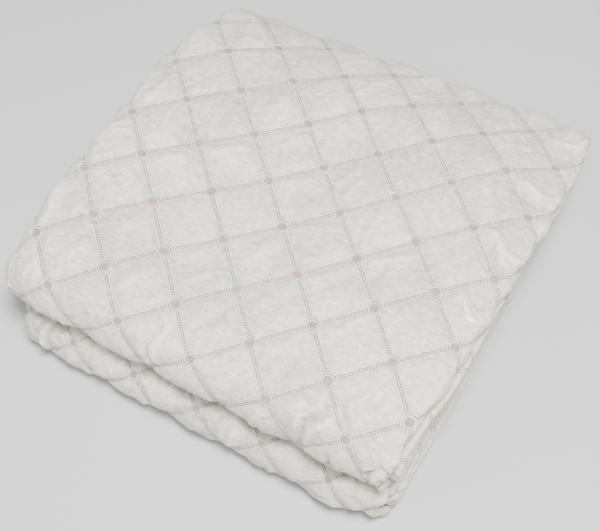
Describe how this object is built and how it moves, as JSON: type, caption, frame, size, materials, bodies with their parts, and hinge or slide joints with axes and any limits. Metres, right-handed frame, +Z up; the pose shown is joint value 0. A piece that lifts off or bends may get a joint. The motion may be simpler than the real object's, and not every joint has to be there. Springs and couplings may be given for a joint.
{
  "type": "folded quilted bedspread",
  "caption": "Diamond-quilted bedspread folded into a square stack: a rounded double fold at the front, one high fold at the back, closed folds on one side and hemmed edges on the other",
  "frame": {"origin": "centre of the bounding box in X and Y, on the surface the stack rests on", "axes": "+Z up; +Y towards the high back fold; -Y is the front with its two rounded folds; +X is the side with the hems, -X the side with the closed folds"},
  "size_m": [0.4994, 0.5336, 0.146],
  "materials": {
    "quilted_cloth": "ivory woven cloth, quilted in diamonds, soft low sheen"
  },
  "bodies": {
    "root": {"bedspread": "quilted_cloth"}
  },
  "joints": []
}
